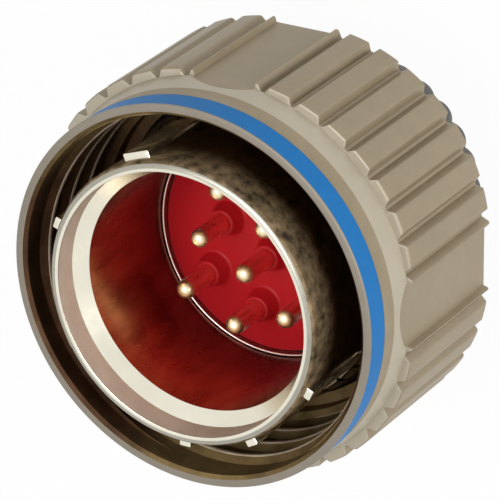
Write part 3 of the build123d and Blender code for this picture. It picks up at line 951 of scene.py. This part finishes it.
class PLUG_OT_insert_ring(bpy.types.Operator):
    """Make the bright ring around the soft face"""

    bl_idname = "plug.insert_ring"
    bl_label = "Insert Ring"

    def execute(self, context):
        insert = context.scene.plug_insert
        bm = bmesh.new()
        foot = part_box("insert_ring")[0][2]
        top = up(insert.seal_depth) + insert.ring_rise
        middle = (insert.ring_inner + insert.ring_outer) / 2
        half = (insert.ring_outer - insert.ring_inner) / 2
        arc = [pi * part / 10 for part in range(11)]
        crown = [(middle + half * cos(t), top - half + half * sin(t)) for t in arc]
        turned(bm, [(insert.ring_inner, foot), (insert.ring_outer, foot)] + crown)
        finish_piece("bright_ring", bm, ["ring metal"], "shell", ["insert_ring"])
        return {"FINISHED"}


class PLUG_OT_pins(bpy.types.Operator):
    """Make the eight pin contacts with their crimp barrels"""

    bl_idname = "plug.pins"
    bl_label = "Pin Contacts"

    def execute(self, context):
        insert = context.scene.plug_insert
        tip = up(insert.pin_tip)
        radius, ease = insert.pin_radius, insert.pin_round
        arc = [pi * part / 10 for part in range(6)]
        crown = [(radius - ease + ease * sin(t), tip - ease + ease * cos(t)) for t in arc]
        for name, place in zip(CONTACTS, contact_places()):
            bm = bmesh.new()
            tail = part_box(name)[0][2]
            turned(
                bm,
                [
                    (0, tip),
                    *crown,
                    (radius, up(COLLAR_FRONT)),
                    (COLLAR_RADIUS, up(COLLAR_FRONT)),
                    (COLLAR_RADIUS, up(COLLAR_REAR)),
                    (CRIMP_RADIUS, up(COLLAR_REAR)),
                    (CRIMP_RADIUS, tail),
                    (CRIMP_BORE, tail),
                    (CRIMP_BORE, tail + CRIMP_DEPTH),
                    (0, tail + CRIMP_DEPTH),
                ],
                steps=64,
                centre=place,
                closed=False,
            )
            # The shafts take the pinker shaft tint, a painted reflection of the red face.
            for face in bm.faces:
                face.material_index = int(face.calc_center_median().z < tip - 1.1 * ease)
            looks = ["gold plating", "shaft red reflection"]
            finish_piece(name.replace("contact", "pin"), bm, looks, "shell", [name])
        return {"FINISHED"}


class PLUG_OT_inner_parts(bpy.types.Operator):
    """Dress the springs, rings, seals, insulators and clips from their solids"""

    bl_idname = "plug.inner_parts"
    bl_label = "Springs, Seals and Clips"

    def execute(self, context):
        groups = [
            (SPRINGS, "coupling_nut", "spring steel", "spring_steel"),
            (["spring_washer", "retaining_ring"], "coupling_nut", "spring steel", "spring_steel"),
            (["ground_spring"], "shell", "spring steel", "spring_plating"),
            (["shell_seal"], "shell", "dark rubber", "dark_rubber"),
            (["front_insulator", "rear_insulator"], "shell", "insulator plastic", "insulator_plastic"),
            (["wire_grommet"], "shell", "grommet rubber", "grommet_rubber"),
            (CLIPS, "shell", "clip metal", "clip_metal"),
        ]
        for names, body, look, slot_name in groups:
            for name in names:
                bm = bmesh.new()
                bm.from_mesh(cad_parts[name].data)
                bmesh.ops.remove_doubles(bm, verts=bm.verts, dist=0.001 * MM)
                add_piece(name + "_piece", bm, [look], body, [name], 30.0)
        return {"FINISHED"}


# The stage

SENSOR_WIDTH = 36.0
LAMP_AIM = (0.0, 0.0, 0.015)
KEY_LAMP_SIZE = 0.22
KEY_LAMP_PLACE = (0.535, -0.075, 0.26)
FRONT_LAMP_SIZE = 0.25
FRONT_LAMP_PLACE = (0.0, 0.06, 0.45)
FLOOR_HALF = 3.0
FLOOR_GLOW = 0.96


def sight(stage):
    """The camera's right, down and forward directions in the plug's own frame."""
    th, ph, hd = stage.tilt, stage.roll, stage.heading
    side = Vector((sin(hd), cos(hd), 0))
    other = Vector((cos(hd), -sin(hd), 0))
    axis = Vector((0, 0, 1))
    columns = [
        (side, (sin(ph), -cos(ph), 0)),
        (other, (cos(th) * cos(ph), cos(th) * sin(ph), sin(th))),
        (axis, (sin(th) * cos(ph), sin(th) * sin(ph), -cos(th))),
    ]
    return [sum((vector * seen[i] for vector, seen in columns), Vector()) for i in range(3)]


def lamp(name, power, size, place, target):
    """A round lamp that faces a point."""
    data = bpy.data.lights.new(name, "AREA")
    data.shape = "DISK"
    data.size = size
    data.energy = power
    lamp_object = bpy.data.objects.new(name, data)
    lamp_object.location = place
    lamp_object.rotation_mode = "QUATERNION"
    lamp_object.rotation_quaternion = (Vector(place) - Vector(target)).to_track_quat("Z", "Y")
    bpy.context.scene.collection.objects.link(lamp_object)


def seen_directly(tree):
    """Gives 1 on a ray from the camera, straight, mirrored or through a clear piece, and else 0."""
    path = add_node(tree, "LightPath")
    seen = path.outputs["Is Camera Ray"]
    for ray in ("Is Glossy Ray", "Is Transmission Ray"):
        either = add_node(tree, "Math", {0: seen, 1: path.outputs[ray]}, operation="MAXIMUM")
        seen = either.outputs["Value"]
    return seen


def set_camera(scene, stage):
    """The camera that the photograph was taken from."""
    right, down, forward = sight(stage)
    data = bpy.data.cameras.new("camera")
    data.sensor_width = SENSOR_WIDTH
    data.lens = stage.focal
    data.clip_start = 0.01
    data.clip_end = 20.0
    camera = bpy.data.objects.new("camera", data)
    offset = right * stage.across + down * stage.down + forward * stage.distance
    facing = Matrix((right, -down, -forward)).transposed()
    camera.matrix_world = Matrix.Translation(Vector((0, 0, LIP_HEIGHT)) - offset) @ facing.to_4x4()
    scene.collection.objects.link(camera)
    scene.camera = camera


def set_world(scene, stage):
    """A plain white backdrop that lights the plug more gently than it looks."""
    world = bpy.data.worlds.new("surroundings")
    scene.world = world
    world.use_nodes = True
    tree = world.node_tree
    tree.nodes.clear()
    lit = add_node(tree, "Background", {"Color": WHITE, "Strength": stage.world_level})
    white = add_node(tree, "Background", {"Color": WHITE, "Strength": 1.0})
    inputs = {"Fac": seen_directly(tree), 1: lit.outputs[0], 2: white.outputs[0]}
    mix = add_node(tree, "MixShader", inputs)
    add_node(tree, "OutputWorld", {"Surface": mix.outputs[0]})


def set_floor(scene):
    """A pale floor that keeps the plug's shadow."""
    bm = bmesh.new()
    bmesh.ops.create_grid(bm, x_segments=1, y_segments=1, size=FLOOR_HALF)
    mesh = bpy.data.meshes.new("floor")
    bm.to_mesh(mesh)
    bm.free()
    floor = bpy.data.objects.new("floor", mesh)
    scene.collection.objects.link(floor)
    material = bpy.data.materials.new("floor paper")
    material.use_nodes = True
    tree = material.node_tree
    paper = tree.nodes["Principled BSDF"]
    paper.inputs["Base Color"].default_value = (0.95, 0.95, 0.95, 1)
    paper.inputs["Roughness"].default_value = 0.7
    glow = add_node(tree, "Emission", {"Strength": 1.0})
    share = add_node(tree, "Math", {0: seen_directly(tree), 1: FLOOR_GLOW}, operation="MULTIPLY")
    inputs = {"Fac": share.outputs["Value"], 1: paper.outputs[0], 2: glow.outputs[0]}
    mix = add_node(tree, "MixShader", inputs)
    tree.links.new(mix.outputs[0], tree.nodes["Material Output"].inputs["Surface"])
    mesh.materials.append(material)


class PLUG_OT_stage(bpy.types.Operator):
    """Set the floor, the lamps, the surroundings and the camera"""

    bl_idname = "plug.stage"
    bl_label = "Stage"

    def execute(self, context):
        scene = context.scene
        stage = scene.plug_stage
        scene.view_settings.view_transform = "Standard"
        set_camera(scene, stage)
        lamp("key lamp", stage.key_power, KEY_LAMP_SIZE, KEY_LAMP_PLACE, LAMP_AIM)
        lamp("front lamp", stage.front_power, FRONT_LAMP_SIZE, FRONT_LAMP_PLACE, LAMP_AIM)
        set_world(scene, stage)
        if stage.show_floor:
            set_floor(scene)
        return {"FINISHED"}


class PLUG_PT_panel(bpy.types.Panel):
    """Lists the plug's pieces and its stage"""

    bl_idname = "PLUG_PT_panel"
    bl_label = "Connector Plug"
    bl_space_type = "VIEW_3D"
    bl_region_type = "UI"
    bl_category = "Connector"

    def draw(self, context):
        for operator in OPERATORS:
            self.layout.operator(operator.bl_idname)
        for name in GROUPS:
            group = getattr(context.scene, name)
            box = self.layout.box()
            for key in group.bl_rna.properties.keys():
                if key not in {"rna_type", "name"}:
                    box.prop(group, key)


GROUPS = {
    "plug_nut": PLUG_PG_nut,
    "plug_shell": PLUG_PG_shell,
    "plug_insert": PLUG_PG_insert,
    "plug_finish": PLUG_PG_finish,
    "plug_stage": PLUG_PG_stage,
}
OPERATORS = [
    PLUG_OT_nut,
    PLUG_OT_nut_thread,
    PLUG_OT_band,
    PLUG_OT_shell,
    PLUG_OT_keys,
    PLUG_OT_seal,
    PLUG_OT_insert_ring,
    PLUG_OT_pins,
    PLUG_OT_inner_parts,
    PLUG_OT_stage,
]


def register():
    for cls in [*GROUPS.values(), *OPERATORS, PLUG_PT_panel]:
        bpy.utils.register_class(cls)
    for name, group in GROUPS.items():
        setattr(bpy.types.Scene, name, PointerProperty(type=group))


def unregister():
    for name in GROUPS:
        delattr(bpy.types.Scene, name)
    for cls in reversed([*GROUPS.values(), *OPERATORS, PLUG_PT_panel]):
        bpy.utils.unregister_class(cls)


def main():
    register()
    bpy.ops.plug.nut()
    bpy.ops.plug.nut_thread()
    bpy.ops.plug.band()
    bpy.ops.plug.shell()
    bpy.ops.plug.keys()
    bpy.ops.plug.seal()
    bpy.ops.plug.insert_ring()
    bpy.ops.plug.pins()
    bpy.ops.plug.inner_parts()
    bpy.ops.plug.stage()


if __name__ == "__main__":
    main()
